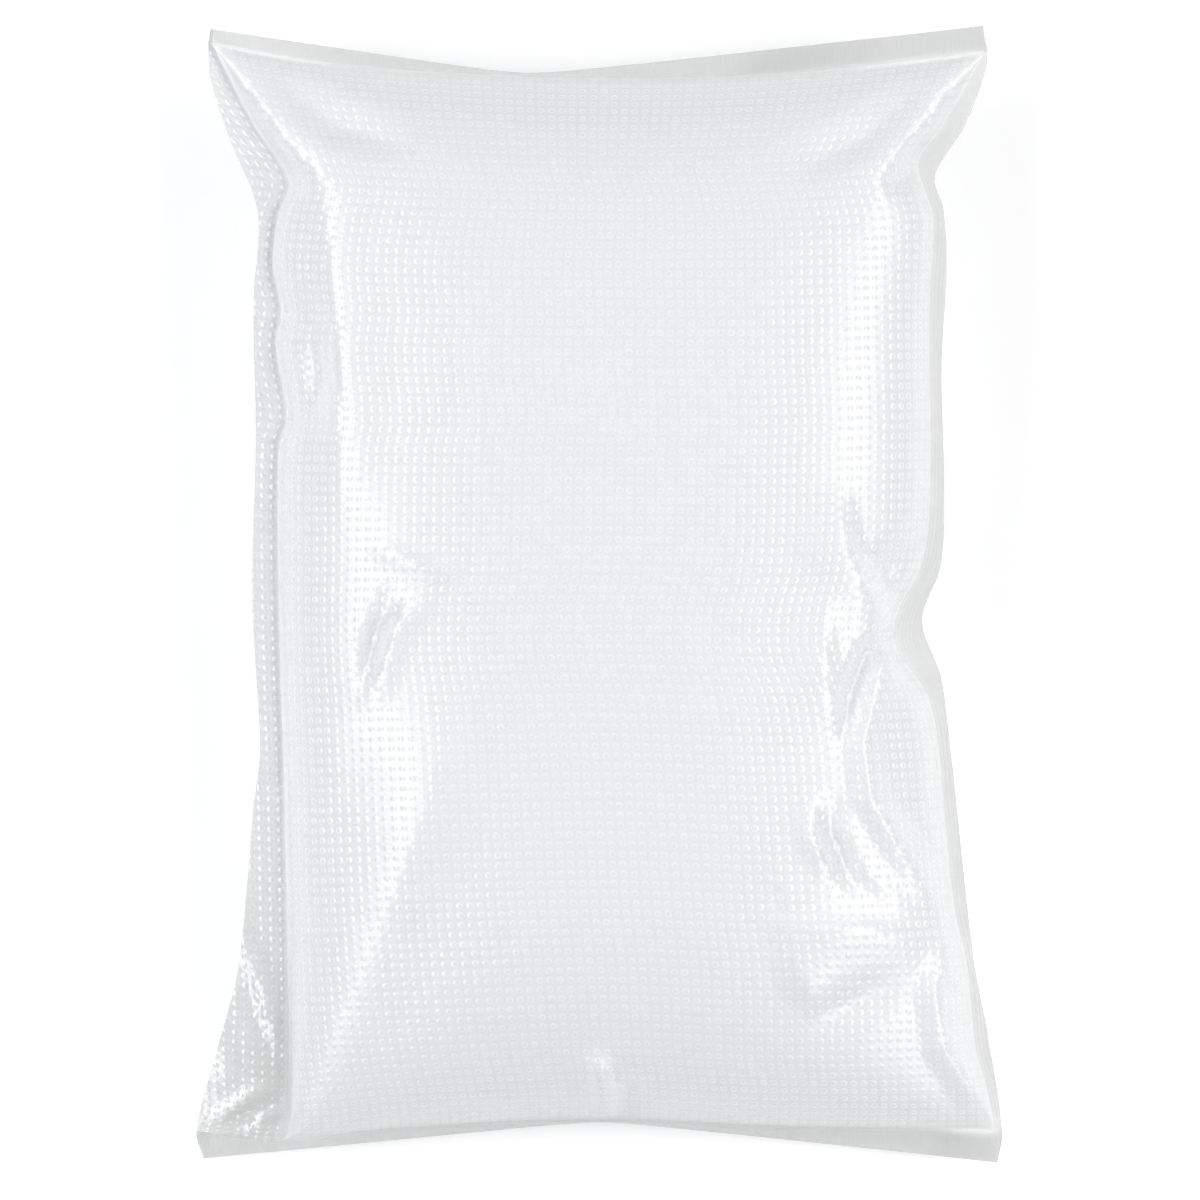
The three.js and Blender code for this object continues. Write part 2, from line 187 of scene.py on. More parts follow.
@dataclass(frozen=True)
class PouchForm:
    """The shape of the filled pouch, in millimetres: X across it, Y towards its top, Z up.

    Attributes:
        belly_rise: of the shown side, over the level of the side seams.
        belly_drop: of the back, under that level, before it settles flat.
        seam_level: over the surface the pouch rests on.
        seal_width: of the heat seal across each end.
        pair_thickness: of the two films together, in seams and seals.
        across_fullness: how squarely the belly is filled from side to side.
        along_fullness: the same from end to end.
        back_fullness: the same for the back, from side to side.
        settled: how much thicker the lower end is than the upper one.
        head_sag: of the upper fold's middle, under the side seams.
        foot_sag: of the whole lower end, under them.
        sag_onset: how late along the pouch both sags set in.
        belly_y: where the belly starts and ends at the pouch's corners.
        steepest_lean: of a seal's middle, in degrees, where it is seen edge on.
        seal_bend_radius: rounds the corner in the middle of each seal's edge.
        shallow_depth: the creases fade out where the belly is thinner than this.
        steepness: of the belly's walls; 0.5 rounds them as an ellipse, 1 slopes them.
        droop: fall of a side seam for each millimetre outwards from its root.
        left_free_edge: of the left side seam in the plan, as rows of (y, x).
        right_free_edge: the same on the right.
        left_root: where the left side seam meets the belly, as rows of (y, x).
        right_root: the same on the right.
        left_body: the smooth line that the left root wavers about, as rows of (y, x).
        right_body: the same on the right.
        waver_reach: how far in from a root its waver dies away.
        top_fold: where the belly meets the upper seal, as rows of (x, y).
        top_seal_edge: that seal's free edge as it is seen: its ends and its corner.
        bottom_fold: where the belly meets the lower seal, as rows of (x, y).
        bottom_seal_edge: that seal's free edge.
        creases: folds and dents of the shown side.
        seam_creases: folds of the loose film in the lower left side seam.
        seam_crease_onset: how far out from the root those have their full height.
    """

    belly_rise: float = 26.5
    belly_drop: float = 25.5
    seam_level: float = 23.5
    seal_width: float = 8.0
    pair_thickness: float = 0.6
    across_fullness: float = 2.5
    along_fullness: float = 4.2
    back_fullness: float = 3.1
    settled: float = 0.1
    head_sag: float = 7.0
    foot_sag: float = 14.0
    sag_onset: float = 3.0
    belly_y: tuple[float, float] = (-127.0, 129.0)
    steepest_lean: float = 87.0
    seal_bend_radius: float = 6.0
    shallow_depth: float = 4.0
    steepness: float = 0.6
    droop: float = 0.12
    left_free_edge: Rows = (
        (-134.3, -94.3), (-127, -95.7), (-104, -89.8), (-86, -85.3), (-48, -81.6), (-34, -80.0),
        (0, -81.8), (37, -80.9), (70, -81.4), (92, -80.5), (107, -86.8), (121, -91.5),
        (134.3, -91.9),
    )
    right_free_edge: Rows = (
        (-135, 94.5), (-127, 95.4), (-104, 91.9), (-86, 88.4), (-34, 82.5), (-18, 80.3),
        (-4.5, 75.9), (8, 80.2), (24, 81.1), (55, 80.4), (80, 81.6), (93, 80.8), (101, 78.8),
        (112, 85.8), (126, 91.0), (135, 90.5),
    )
    left_root: Rows = (
        (-129, -75.8), (-118, -73.6), (-48, -74.1), (-24, -74.8), (10, -75.5), (37, -75.3),
        (44, -73.4), (61, -76.0), (69, -74.8), (80, -76.7), (91, -75.5), (100, -73.1),
        (112, -81.4), (130, -91.6),
    )
    right_root: Rows = (
        (-127, 94.0), (-115, 91.4), (-108, 89.1), (-87, 86.8), (-73, 83.7), (-52, 81.4),
        (-24, 77.8), (-10, 69.6), (-2, 70.3), (8, 75.5), (22, 77.6), (70, 77.6), (91, 78.5),
        (97, 76.7), (105, 75.0), (112, 80.4), (128, 90.2),
    )
    left_body: Rows = (
        (-129, -75.2), (-50, -74.4), (40, -75.0), (88, -75.6), (104, -78.0), (130, -91.6),
    )
    right_body: Rows = (
        (-127, 94.0), (-108, 89.4), (-60, 82.4), (-24, 78.2), (0, 76.8), (40, 77.4), (88, 77.8),
        (104, 78.0), (128, 90.2),
    )
    waver_reach: float = 22.0
    top_fold: Rows = (
        (-92, 130.1), (-68, 126.1), (-38, 123.5), (6, 122.2), (41, 123.1), (63, 124.9),
        (91, 128.0),
    )
    top_seal_edge: Rows = ((-91.5, 134.3), (-17.5, 123.9), (90.5, 135.0))
    bottom_fold: Rows = (
        (-95.5, -127.0), (-76, -129.3), (-47, -126.6), (0, -124.4), (40, -126.1), (95.5, -127.0),
    )
    bottom_seal_edge: Rows = ((-94.3, -134.3), (0, -125.1), (94.5, -135.0))
    creases: tuple[Crease, ...] = (
        # The fold out of the upper left corner, the hollows beside it and the shoulder below.
        Crease(((-92, 130), (-82, 115), (-72, 105), (-62, 96), (-52, 88)), 2.0, (15, 10), (0.8, 0)),
        Crease(((-78, 123), (-62, 110), (-42, 104)), -2.2, (8, 7), (0.2, 0)),
        Crease(((-84, 115), (-76, 102), (-71, 92)), -2.4, (5, 5), (0.5, 0)),
        Crease(((-66, 99), (-63, 84), (-61, 62), (-62, 42)), 1.5, (14, 6), (0.2, 0)),
        Crease(((-67, 62), (-65, 52), (-67, 40)), -1.7, (6, 5)),
        Crease(((-60, 70), (-61, 42), (-60, 14)), 1.6, (14, 7)),
        # The dent on the left, and the long fold from below it to the lower corner.
        Crease(((-54, 11), (-44, 8), (-31, 4)), 1.5, (4, 5)),
        Crease(((-47, 4), (-52, -8), (-55, -24)), -1.6, (5, 4)),
        Crease(((-37, 2), (-47, -7), (-55, -28)), 1.5, (6, 4)),
        Crease(((-33, -16), (-39, -46), (-51, -77), (-60, -97)), 2.4, (15, 20)),
        Crease(((-51, -77), (-62, -101), (-73, -128)), 1.3, (14, 20), (0, 0.9)),
        # The fold out of the upper right corner and the hollows on both sides of it.
        Crease(((91, 128), (79, 118), (73, 110), (67, 100), (61, 86)), 2.0, (10, 15), (0.8, 0)),
        Crease(((78, 123), (62, 107), (42, 98)), -2.2, (7, 8), (0.2, 0)),
        Crease(((78, 106), (72, 99), (66, 94)), -2.4, (5, 5), (1, 0)),
        # The pinch at the right-hand seam: hollows over and under it, and the folds they leave.
        Crease(((74, 13), (67, 6), (67, -3)), -2.0, (5, 7), (0.6, 0.2)),
        Crease(((55, 28), (57, 11), (62, 2), (70, -9)), 2.4, (5, 14), (0, 0.9)),
        Crease(((71, -9), (62, -13), (58, -24), (57, -38)), -2.6, (5, 4), (1, 0)),
        Crease(((53, 4), (52, -14), (53, -33)), 1.3, (5, 10)),
        Crease(
            ((71, -12), (66, -19), (61, -34), (63, -47), (70, -59), (79, -72), (83, -80)),
            2.8, (7, 5),
        ),
        # The folds under it, down to the lower right corner.
        Crease(((48, -46), (49, -56), (54, -67)), 1.6, (4, 5)),
        Crease(((55, -44), (54, -55), (59, -66), (69, -74)), -2.0, (4, 5)),
        Crease(((40, -77), (60, -78), (82, -83)), 2.4, (5, 12), (0, 0.4)),
        Crease(((44, -77), (47, -88), (54, -101)), 2.0, (18, 7), (0.5, 0)),
        Crease(((46, -100), (62, -94), (74, -92)), -1.6, (8, 8)),
        Crease(((82, -82), (79, -93), (81, -106), (95, -127)), 3.0, (7, 6), (0.3, 0.9)),
        # The pleat in the middle of the lower seal.
        Crease(((1, -125), (1, -117), (-1, -105)), 3.0, (5, 4), (1, 0)),
        Crease(((6, -125), (7, -118), (9, -110)), -2.2, (4, 5), (1, 0)),
    )
    seam_creases: tuple[Crease, ...] = (
        Crease(((-84, -62), (-84, -80), (-79, -96), (-76, -110)), 1.0, (3, 3)),
        Crease(((-82, -84), (-82, -98), (-77, -112)), -0.8, (3, 3)),
        Crease(((-92, -124), (-86, -121), (-78, -115)), 1.5, (3, 2.5)),
        Crease(((-89, -127), (-83, -124), (-77, -119)), -1.2, (2.5, 2.5)),
        Crease(((-85, -128), (-80, -123), (-76, -121)), 1.2, (2, 2.5)),
        Crease(((-90, -104), (-88, -112), (-90, -121)), 0.7, (3, 3)),
    )
    seam_crease_onset: float = 2.0

    def plan(self, at: Lattice, inset: float = 0.0) -> tuple[Array, Array]:
        """Where a lattice's points lie in the plan, before a seal's lean.

        Args:
            at: the lattice.
            inset: how far the belly's roots and folds draw in, for what is inside the film.

        Returns:
            The points' x and y.
        """
        low, high = self.belly_y
        nominal = blend(low + inset, high - inset, at.along)
        left_body = curve_through(self.left_body, nominal)
        right_body = curve_through(self.right_body, nominal)
        left_waver = curve_through(self.left_root, nominal) - left_body + inset
        right_waver = curve_through(self.right_root, nominal) - right_body - inset
        width = right_body - left_body
        root_x = (
            blend(left_body, right_body, at.belly)
            + left_waver * self.waver(at.belly * width)
            + right_waver * self.waver((1 - at.belly) * width)
        )
        past = nominal + at.past * self.seal_width
        left_free = curve_through(self.left_free_edge, past)
        right_free = curve_through(self.right_free_edge, past)
        free = np.where(at.belly < 0.5, left_free, right_free)
        x = blend(root_x, free, at.seam)
        bottom = curve_through(self.bottom_fold, x) + inset
        top = curve_through(self.top_fold, x) - inset
        return x, blend(bottom, top, at.along)

    def waver(self, distance: Array) -> Array:
        """How much of a root's waver is left at a distance from it."""
        return np.maximum(0, 1 - distance / self.waver_reach) ** 2

    def level(self, at: Lattice) -> Array:
        """The height of the flat seams.

        Args:
            at: the lattice.

        Returns:
            The level of its points, which dips in the middle of the top and all along the foot.
        """
        head = np.maximum(0, 2 * at.along - 1) ** self.sag_onset
        middle = 1 - (2 * at.belly - 1) ** 2
        foot = (1 - at.along) ** self.sag_onset
        return self.seam_level - self.head_sag * head * middle - self.foot_sag * foot

    def seam_droop(self, at: Lattice, x: Array, y: Array) -> Array:
        """How far a side seam lies under its root: it hangs outwards, and its folds lift it.

        Args:
            at: the lattice.
            x: its points' places across the pouch.
            y: their places along it.

        Returns:
            The fall of each point, none on the belly.
        """
        nominal = blend(*self.belly_y, at.along)
        left = curve_through(self.left_root, nominal)
        right = curve_through(self.right_root, nominal)
        out = np.where(at.seam > 0, np.maximum(0, np.maximum(left - x, x - right)), 0)
        lift = sum(crease.height(x, y) for crease in self.seam_creases)
        return self.droop * out - lift * np.clip(out / self.seam_crease_onset, 0, 1)

    def belly(self, at: Lattice) -> tuple[Array, Array]:
        """The smooth belly, without its creases.

        Args:
            at: the lattice.

        Returns:
            How far the shown side rises over the seams' level, and the back drops under it.
        """
        ends = self.fullness(at.along, self.along_fullness) * (1 + self.settled * (0.5 - at.along))
        shown = self.belly_rise * ends * self.fullness(at.belly, self.across_fullness)
        hidden = self.belly_drop * ends * self.fullness(at.belly, self.back_fullness)
        return shown, hidden

    def creased(self, shown: Array, x: Array, y: Array) -> Array:
        """Adds the creases to the shown side's rise.

        Args:
            shown: the smooth belly's rise.
            x: the points' places across the pouch.
            y: their places along it.

        Returns:
            The rise with its creases, which may fall below the seams' level.
        """
        creases = sum(crease.height(x, y) for crease in self.creases)
        return shown + creases * np.clip(shown / self.shallow_depth, 0, 1)

    def fullness(self, share: Array, power: float) -> Array:
        """How full the belly is from one edge to the other, 1 in the middle."""
        return np.maximum(0, 1 - np.abs(2 * share - 1) ** power) ** self.steepness

    def seal_lean(self, x: Array, y: Array, upper: bool) -> Array:
        """How far an end seal leans back from its fold, in radians.

        Args:
            x: places across the pouch.
            y: the fold's place along it.
            upper: True for the top seal.

        Returns:
            The lean that leaves as much of the seal in sight as its plan outline shows.
        """
        (sx, sy), (cx, cy), (ex, ey) = self.top_seal_edge if upper else self.bottom_seal_edge
        run_in, run_out = (cy - sy) / (cx - sx), (ey - cy) / (ex - cx)
        offset = x - cx
        rounded = np.hypot(offset, self.seal_bend_radius) - self.seal_bend_radius
        edge = cy + (offset * (run_in + run_out) + rounded * (run_out - run_in)) / 2
        seen = np.abs(edge - y) / self.seal_width
        return np.arccos(np.clip(seen, math.cos(math.radians(self.steepest_lean)), 1))


# ---- Meshes -------------------------------------------------------------------------------


@dataclass
class SkinMesh:
    """Collects the points, faces and film coordinates of one closed skin."""

    name: str
    points: list[Array] = field(default_factory=list)
    flats: list[Array] = field(default_factory=list)
    marks: dict[str, list[Array]] = field(default_factory=dict)
    faces: list[tuple[int, ...]] = field(default_factory=list)
    folds: list[Array] = field(default_factory=list)
    rim_faces: int = 0
    _count: int = 0

    def add_sheet(
        self, points: Array, flat: Array, faces_up: bool, marks: dict[str, Array] | None = None
    ) -> Array:
        """Adds a grid of points as quads.

        Args:
            points: (rows, columns, 3), in millimetres.
            flat: (rows, columns, 2), the same points' places in the bake map.
            faces_up: True where the grid's rows and columns run so that its faces look up.
            marks: named values of the points for a finish to read, (rows, columns) each.

        Returns:
            The points' numbers in the mesh, (rows, columns).
        """
        rows, columns = points.shape[:2]
        numbers = self._count + np.arange(rows * columns).reshape(rows, columns)
        self._count += rows * columns
        self.points.append(points.reshape(-1, 3))
        self.flats.append(flat.reshape(-1, 2))
        for name, values in (marks or {}).items():
            self.marks.setdefault(name, []).append(values.ravel())
        corners = [numbers[:-1, :-1], numbers[:-1, 1:], numbers[1:, 1:], numbers[1:, :-1]]
        if not faces_up:
            corners.reverse()
        quads = np.stack([c.ravel() for c in corners], axis=1)
        self.faces.extend(map(tuple, quads.tolist()))
        return numbers

    def close_rim(self, upper: Array, lower: Array) -> None:
        """Joins two sheets round their edges; the lower one may have every nth point only.

        Args:
            upper: the upper sheet's point numbers.
            lower: the lower sheet's.
        """
        step = (upper.shape[0] - 1) // (lower.shape[0] - 1)
        loops = [
            np.concatenate([n[0, :-1], n[:-1, -1], n[-1, :0:-1], n[:0:-1, 0]])
            for n in (upper, lower)
        ]
        above, below = loops
        for loop in loops:
            self.folds.append(np.append(loop, loop[0]))
        for k in range(len(below)):
            next_below = below[(k + 1) % len(below)]
            run = [int(above[(k * step + i) % len(above)]) for i in range(step + 1)]
            self.faces.append((int(below[k]), int(next_below), *reversed(run)))
            self.rim_faces += 1

    def build(self) -> bpy.types.Object:
        """Makes the Blender object, in metres, smooth but for its rim and its folds."""
        mesh = bpy.data.meshes.new(self.name)
        points = np.concatenate(self.points) * MM
        mesh.from_pydata(points.tolist(), [], self.faces)
        smooth = np.ones(len(mesh.polygons), bool)
        smooth[len(smooth) - self.rim_faces:] = False
        mesh.polygons.foreach_set("use_smooth", smooth)
        flat = np.concatenate(self.flats)
        corner = np.zeros(len(mesh.loops), np.int32)
        mesh.loops.foreach_get("vertex_index", corner)
        layer = mesh.uv_layers.new(name=BAKE_MAP)
        layer.data.foreach_set("uv", flat[corner].astype(np.float32).ravel())
        for name, values in self.marks.items():
            mark = mesh.attributes.new(name, "FLOAT", "POINT")
            mark.data.foreach_set("value", np.concatenate(values).astype(np.float32))
        mesh.validate()
        mesh.update()
        self._sharpen_folds(mesh)
        obj = bpy.data.objects.new(self.name, mesh)
        bpy.context.scene.collection.objects.link(obj)
        return obj

    def _sharpen_folds(self, mesh: bpy.types.Mesh) -> None:
        """Keeps the shading from running smoothly over the folds.

        Args:
            mesh: the finished mesh.
        """
        pairs = [pair for line in self.folds for pair in zip(line[:-1].tolist(), line[1:].tolist())]
        folded = {(min(pair), max(pair)) for pair in pairs}
        on_fold = [tuple(sorted(edge.vertices)) in folded for edge in mesh.edges]
        sharp = mesh.attributes.new("sharp_edge", "BOOLEAN", "EDGE")
        sharp.data.foreach_set("value", on_fold)


# ---- Shader terms -------------------------------------------------------------------------

Input = "Term | float | Colour | bpy.types.NodeSocket"


class Term:
    """A shader socket that Python's operators work on; each operator adds a Math node."""

    def __init__(self, shade: "Shade", socket: bpy.types.NodeSocket) -> None:
        """Wraps an output socket of a material's node tree."""
        self.shade = shade
        self.socket = socket

    def _math(self, operation: str, *values: "Term | float") -> "Term":
        """Adds a Math node over these values."""
        return self.shade.add("ShaderNodeMath", {"operation": operation}, dict(enumerate(values)))

    def __add__(self, other: "Term | float") -> "Term":
        """self + other."""
        return self._math("ADD", self, other)

    __radd__ = __add__

    def __mul__(self, other: "Term | float") -> "Term":
        """self * other."""
        return self._math("MULTIPLY", self, other)

    __rmul__ = __mul__

    def __sub__(self, other: "Term | float") -> "Term":
        """self - other."""
        return self._math("SUBTRACT", self, other)

    def __rsub__(self, other: float) -> "Term":
        """other - self."""
        return self._math("SUBTRACT", other, self)

    def __pow__(self, power: float) -> "Term":
        """self to a power."""
        return self._math("POWER", self, power)

    def fraction(self) -> "Term":
        """What is left over the whole number below."""
        return self._math("FRACT", self)

    def sine(self) -> "Term":
        """The sine, of radians."""
        return self._math("SINE", self)

    def at_least(self, low: "Term | float") -> "Term":
        """The larger of the two."""
        return self._math("MAXIMUM", self, low)

    def hump(self) -> "Term":
        """1 halfway between 0 and 1, and 0 at both and beyond them."""
        return (self * (1 - self) * 4).at_least(0)

    def ramp(self, low: float, high: float) -> "Term":
        """0 below low, 1 above high, and smooth between them."""
        settings = {"interpolation_type": "SMOOTHSTEP"}
        return self.shade.add("ShaderNodeMapRange", settings, {0: self, 1: low, 2: high})


class Shade:
    """The node tree of a material, a lamp or the world."""

    OUTPUTS = {
        "Material": "ShaderNodeOutputMaterial",
        "World": "ShaderNodeOutputWorld",
    }
    MIX_COLOUR_INPUTS = (0, 6, 7)  # a Mix node's share and its two colours
    MIX_COLOUR_OUTPUT = 2

    def __init__(self, owner: bpy.types.ID) -> None:
        """Empties the owner's tree but for its output."""
        self.owner = owner
        self.tree = owner.node_tree
        self.tree.nodes.clear()
        output = self.OUTPUTS.get(type(owner).__name__, "ShaderNodeOutputLight")
        self.output = self.tree.nodes.new(output)

    @classmethod
    def of_material(cls, name: str) -> "Shade":
        """Starts a material with nothing but its output."""
        material = bpy.data.materials.new(name)
        material.use_nodes = True
        return cls(material)

    def add(
        self,
        kind: str,
        settings: dict[str, object] | None = None,
        inputs: dict[int | str, Input] | None = None,
        output: int | str = 0,
    ) -> Term:
        """Adds any node.

        Args:
            kind: the node's type.
            settings: its own settings, set before its sockets.
            inputs: values or links for its sockets, by name or number.
            output: the socket to give back.

        Returns:
            The node's output as a term.
        """
        node = self.tree.nodes.new(kind)
        for name, value in (settings or {}).items():
            setattr(node, name, value)
        for key, value in (inputs or {}).items():
            socket = node.inputs[key]
            if isinstance(value, Term):
                self.tree.links.new(value.socket, socket)
            else:
                socket.default_value = (*value, 1) if socket.type == "RGBA" else value
        return Term(self, node.outputs[output])

    def mix_colour(self, share: Term, first: Input, second: Input) -> Term:
        """The colour `share` of the way from first to second."""
        inputs = dict(zip(self.MIX_COLOUR_INPUTS, (share, first, second)))
        return self.add("ShaderNodeMix", {"data_type": "RGBA"}, inputs, self.MIX_COLOUR_OUTPUT)

    def split(self, vector: Term) -> tuple[Term, Term, Term]:
        """A vector's three parts."""
        first = self.add("ShaderNodeSeparateXYZ", None, {0: vector})
        outputs = first.socket.node.outputs
        return first, Term(self, outputs[1]), Term(self, outputs[2])

    def noise(self, place: Term, scale: float, detail: float = 2.0, roughness: float = 0.5) -> Term:
        """Noise from 0 to 1 over a place."""
        inputs = {"Vector": place, "Scale": scale, "Detail": detail, "Roughness": roughness}
        return self.add("ShaderNodeTexNoise", None, inputs)

    def mark(self, name: str) -> Term:
        """A value that the mesh's points carry."""
        return self.add("ShaderNodeAttribute", {"attribute_name": name}, None, "Fac")

    def finish(self, surface: Term) -> bpy.types.ID:
        """Links the surface and gives the tree's owner."""
        self.tree.links.new(surface.socket, self.output.inputs["Surface"])
        return self.owner


# ---- Finishes -----------------------------------------------------------------------------


class FilmMark(Enum):
    """What the film's points carry for its finish, each from 0 to 1."""

    PAIRED = "paired"
    EMBOSS = "emboss"
    # Painted shade: darker film beside the left-hand root, for the shade in the fold there.
    ROOT_LINE = "root_line"


@dataclass(frozen=True)
class EmbossedFilm:
    """Clear glossy film with round bosses in a square grid; flat and ribbed in the seals.

    Attributes:
        pitch: between bosses, in millimetres of film.
        map_span: the millimetres of film that the bake map spans.
        boss_radius: of a boss.
        boss_height: of a boss.
        cover: how much of the light the film over the starch catches, from 0 to 1.
        ring_cover: how much more the ring round a boss's top catches.
        pair_cover: the same as cover where two films lie together.
        pair_rings: how much of a ring's lighter colour, whitening and painted highlight, shows
            there.
        colour: of the film over the starch, between bosses.
        ring_colour: of the ring, partly whitened film, partly a painted highlight for glints.
        pair_colour: of two films that lie together.
        root_colour: painted shade, dark beside the left-hand root, where the fold is in shade.
        clear: the tint of what shows through.
        roughness: of the film.
        rib_pitch: between the fine ribs of the seals.
        rib_lean: the slope of a rib's sides.
        stray: the slopes of the film's own unevenness.
        crinkle: how much more uneven it is where two films lie together.
        stray_span: the millimetres of film from one such slope to the next.
        stray_detail: how many finer layers those slopes have.
        refraction: the film's index of refraction.
        specular: the strength of its reflections.
    """

    pitch: float
    map_span: float
    boss_radius: float = 0.95
    boss_height: float = 0.14
    cover: float = 0.32
    ring_cover: float = 0.04
    pair_cover: float = 0.52
    pair_rings: float = 0.3
    colour: Colour = (0.85, 0.855, 0.865)
    # Partly a painted highlight: the ring is lighter so that the bosses' glints show.
    ring_colour: Colour = (0.96, 0.96, 0.965)
    pair_colour: Colour = (0.70, 0.705, 0.70)
    # Painted shade: the colour of the film beside the left-hand root, where the fold is in shade.
    root_colour: Colour = (0.46, 0.47, 0.46)
    clear: Colour = (0.99, 0.992, 0.99)
    roughness: float = 0.28
    rib_pitch: float = 0.9
    rib_lean: float = 0.20
    stray: float = 0.05
    crinkle: float = 0.30
    stray_span: float = 9.0
    stray_detail: float = 4.0
    refraction: float = 2.0
    specular: float = 0.9

    def material(self) -> bpy.types.Material:
        """Makes the film's material, laid out in the film's own flat coordinates.

        A boss rises as the square of `boss` below, so `lean` is its slope for each millimetre
        off its middle. `ring` is 1 on a circle at 0.7 of its radius.

        Returns:
            The material.
        """
        shade = Shade.of_material("embossed_film")
        flat = shade.add("ShaderNodeUVMap", {"uv_map": BAKE_MAP})
        paired, emboss, root_line = [shade.mark(mark.value) for mark in FilmMark]
        u, v, _ = shade.split(flat)
        off_u, off_v = self._off_boss(u), self._off_boss(v)
        off = (off_u * off_u + off_v * off_v) * self.boss_radius**-2
        boss = (1 - off).at_least(0) * emboss
        lean = boss * (4 * self.boss_height * self.boss_radius**-2)
        ring = boss * off * 4
        ribs = (u * (2 * math.pi * self.map_span / self.rib_pitch)).sine() * self.rib_lean
        ribs = ribs * paired * (1 - emboss)
        stray = shade.add(
            "ShaderNodeTexNoise",
            {"noise_dimensions": "2D"},
            {
                "Vector": flat,
                "Scale": self.map_span / self.stray_span,
                "Detail": self.stray_detail,
            },
            "Color",
        )
        stray_u, stray_v, _ = shade.split(stray)
        wander = paired * self.crinkle + self.stray
        lean_u = lean * off_u + ribs + (stray_u - 0.5) * wander
        lean_v = lean * off_v + (stray_v - 0.5) * wander
        parts = {0: lean_u * 0.5 + 0.5, 1: lean_v * 0.5 + 0.5, 2: 1.0}
        encoded = shade.add("ShaderNodeCombineXYZ", None, parts)
        tangent = {"uv_map": BAKE_MAP}
        normal = shade.add("ShaderNodeNormalMap", tangent, {"Strength": 1.0, "Color": encoded})
        cover = self.cover + paired * (self.pair_cover - self.cover) + ring * self.ring_cover
        # The ring's lighter colour is partly whitened film and partly a painted highlight for the
        # glints.
        over_starch = shade.mix_colour(ring, self.colour, self.ring_colour)
        pair_share = paired * (1 - ring * self.pair_rings)
        colour = shade.mix_colour(pair_share, over_starch, self.pair_colour)
        gloss = shade.add(
            "ShaderNodeBsdfPrincipled",
            None,
            {
                # Painted shade: the film turns darker beside the left-hand root.
                "Base Color": shade.mix_colour(root_line, colour, self.root_colour),
                "Roughness": self.roughness,
                "IOR": self.refraction,
                "Specular IOR Level": self.specular,
                "Normal": normal,
            },
        )
        through = shade.add("ShaderNodeBsdfTransparent", None, {"Color": self.clear})
        layers = {0: cover, 1: through, 2: gloss}
        return shade.finish(shade.add("ShaderNodeMixShader", None, layers))

    def _off_boss(self, place: Term) -> Term:
        """How far a place of the map lies from its boss's middle, in millimetres."""
        return ((place * (self.map_span / self.pitch)).fraction() - 0.5) * self.pitch


@dataclass(frozen=True)
class StarchPowder:
    """Fine white powder, matt, with a faint grain and soft lumps.

    Attributes:
        colour: of the powder.
        shaded: of its darker grains and lumps.
        roughness: of its surface.
        specular: the strength of its reflections.
        scales: of the noise that makes the grain and the lumps.
        grain_edges: the noise that shows as a dark grain, and as a light one.
        whitening: how much the grain and the lumps change the colour.
        heights: of the grain and the lumps, in millimetres.
        relief: how strongly both catch the light.
    """

    colour: Colour = (0.915, 0.918, 0.93)
    shaded: Colour = (0.885, 0.89, 0.905)
    roughness: float = 0.95
    specular: float = 0.2
    scales: tuple[float, float] = (2400.0, 90.0)
    grain_edges: tuple[float, float] = (0.35, 0.7)
    whitening: tuple[float, float] = (0.5, 0.4)
    heights: tuple[float, float] = (0.05, 0.35)
    relief: float = 0.8

    def material(self) -> bpy.types.Material:
        """Makes the powder's material."""
        shade = Shade.of_material("starch_powder")
        place = shade.add("ShaderNodeTexCoord", None, None, "Object")
        grain = shade.noise(place, self.scales[0], 2.0)
        lumps = shade.noise(place, self.scales[1], 3.0)
        whiter = grain.ramp(*self.grain_edges) * self.whitening[0] + lumps * self.whitening[1]
        colour = shade.mix_colour(whiter, self.shaded, self.colour)
        height = grain * self.heights[0] + lumps * self.heights[1]
        bump = {"Strength": self.relief, "Distance": MM, "Height": height}
        inputs = {
            "Base Color": colour,
            "Roughness": self.roughness,
            "Specular IOR Level": self.specular,
            "Normal": shade.add("ShaderNodeBump", None, bump),
        }
        return shade.finish(shade.add("ShaderNodeBsdfPrincipled", None, inputs))


@dataclass(frozen=True)
class LitTable:
    """A pale table with a light of its own, so that it stays near white round the pouch.

    Attributes:
        colour: of the table.
        mottle_colour: of its lighter patches.
        mottle_scale: of the noise that spreads those.
        roughness: of its surface.
        specular: the strength of its reflections.
        glow: the strength of its own light.
    """

    colour: Colour = (0.93, 0.93, 0.93)
    mottle_colour: Colour = (0.95, 0.95, 0.95)
    mottle_scale: float = 14.0
    roughness: float = 0.9
    specular: float = 0.1
    glow: float = 0.16

    def material(self) -> bpy.types.Material:
        """Makes the table's material."""
        shade = Shade.of_material("pale_table")
        place = shade.add("ShaderNodeTexCoord", None, None, "Object")
        mottle = shade.noise(place, self.mottle_scale, 2.0)
        inputs = {
            "Base Color": shade.mix_colour(mottle, self.colour, self.mottle_colour),
            "Roughness": self.roughness,
            "Specular IOR Level": self.specular,
            "Emission Color": (1, 1, 1),
            "Emission Strength": self.glow,
        }
        return shade.finish(shade.add("ShaderNodeBsdfPrincipled", None, inputs))


# ---- The pouch ----------------------------------------------------------------------------


